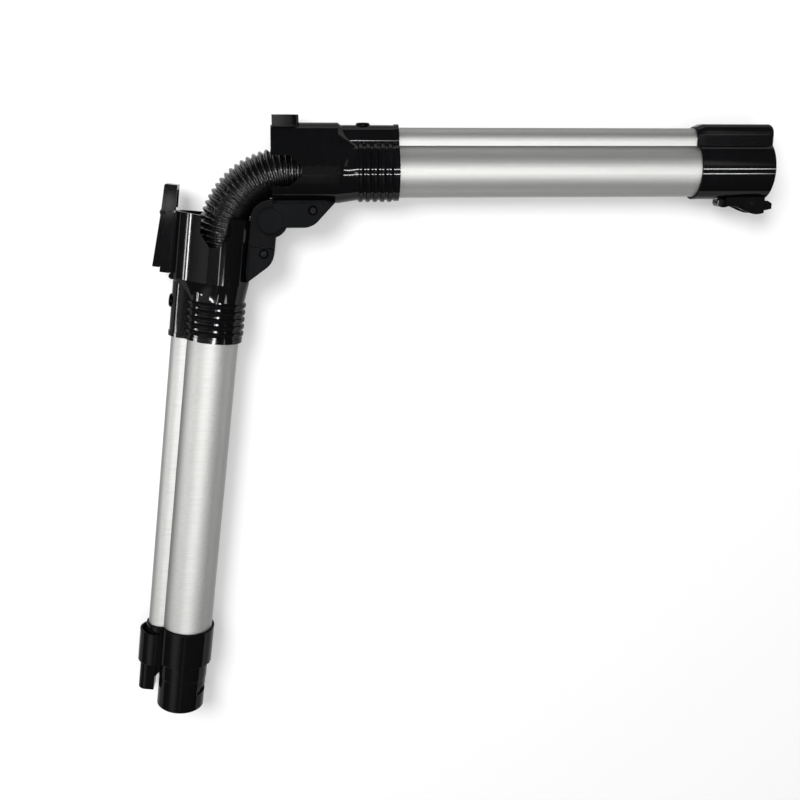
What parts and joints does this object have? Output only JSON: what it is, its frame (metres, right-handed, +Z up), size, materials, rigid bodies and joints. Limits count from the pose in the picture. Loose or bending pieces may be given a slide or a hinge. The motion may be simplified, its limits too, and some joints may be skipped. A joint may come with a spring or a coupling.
{
  "type": "folding vacuum wand",
  "caption": "Folding vacuum wand: aluminium tubes with a wire lobe, joined by a hinged elbow with a corrugated hose, a snap latch, and a plug-in coupling at each end.",
  "frame": {"origin": "middle of the folded wand's footprint, on the surface that it lies on", "axes": "+Z up from the surface; +X along the upper tube, out of the machine socket; the lower tube runs towards -Y"},
  "size_m": [0.4768, 0.4498, 0.045],
  "materials": {
    "aluminium": "satin anodised",
    "black_plastic": "glossy moulded",
    "charcoal_plastic": "satin moulded",
    "hose": "glossy corrugated hose",
    "steel": "ground",
    "dark_steel": "black oxide",
    "brass": "bright",
    "cable": "matt sheath"
  },
  "bodies": {
    "upper_wand": {"upper_tube": "aluminium", "upper_housing": "black_plastic", "upper_hinge_plates": "charcoal_plastic", "hinge_pin": "steel", "upper_hinge_screw": "dark_steel", "latch_keeper": "black_plastic", "upper_collar_screw": "dark_steel", "upper_hose_cuff": "charcoal_plastic", "upper_cable": "cable", "socket_coupling": "black_plastic", "contact_carrier": "charcoal_plastic", "contact_pins": "brass", "socket_latch_pin": "steel", "socket_latch_spring": "steel", "flex_hose": "hose"},
    "lower_wand": {"lower_tube": "aluminium", "lower_housing": "black_plastic", "lower_hinge_plates": "charcoal_plastic", "lower_hinge_screw": "dark_steel", "lower_collar_screw": "dark_steel", "lower_hose_cuff": "charcoal_plastic", "lower_cable": "cable", "latch_bracket": "black_plastic", "elbow_latch_pin": "steel", "elbow_latch_spring": "steel", "spigot_coupling": "black_plastic", "plug_contacts": "brass"},
    "elbow_latch": {"elbow_latch": "black_plastic"},
    "socket_latch": {"socket_latch": "black_plastic"}
  },
  "joints": [
    {"name": "wand_fold", "type": "hinge", "parent": "upper_wand", "child": "lower_wand", "pos_m": [-0.12379, 0.15377, 0.0225], "axis": [0, 0, 1], "range_deg": [-82.5, 7.5], "deforming": ["flex_hose"]},
    {"name": "elbow_latch_press", "type": "hinge", "parent": "lower_wand", "child": "elbow_latch", "pos_m": [-0.19673, 0.15974, 0.0225], "axis": [0, 0, 1], "range_deg": [0, 8], "stiffness_Nm_per_rad": 0.4, "springref_deg": -6.88, "deforming": ["elbow_latch_spring"]},
    {"name": "socket_latch_press", "type": "hinge", "parent": "upper_wand", "child": "socket_latch", "pos_m": [0.22231, 0.16397, 0.0225], "axis": [0, 0, -1], "range_deg": [0, 4], "stiffness_Nm_per_rad": 0.4, "springref_deg": -6.88, "deforming": ["socket_latch_spring"]}
  ]
}
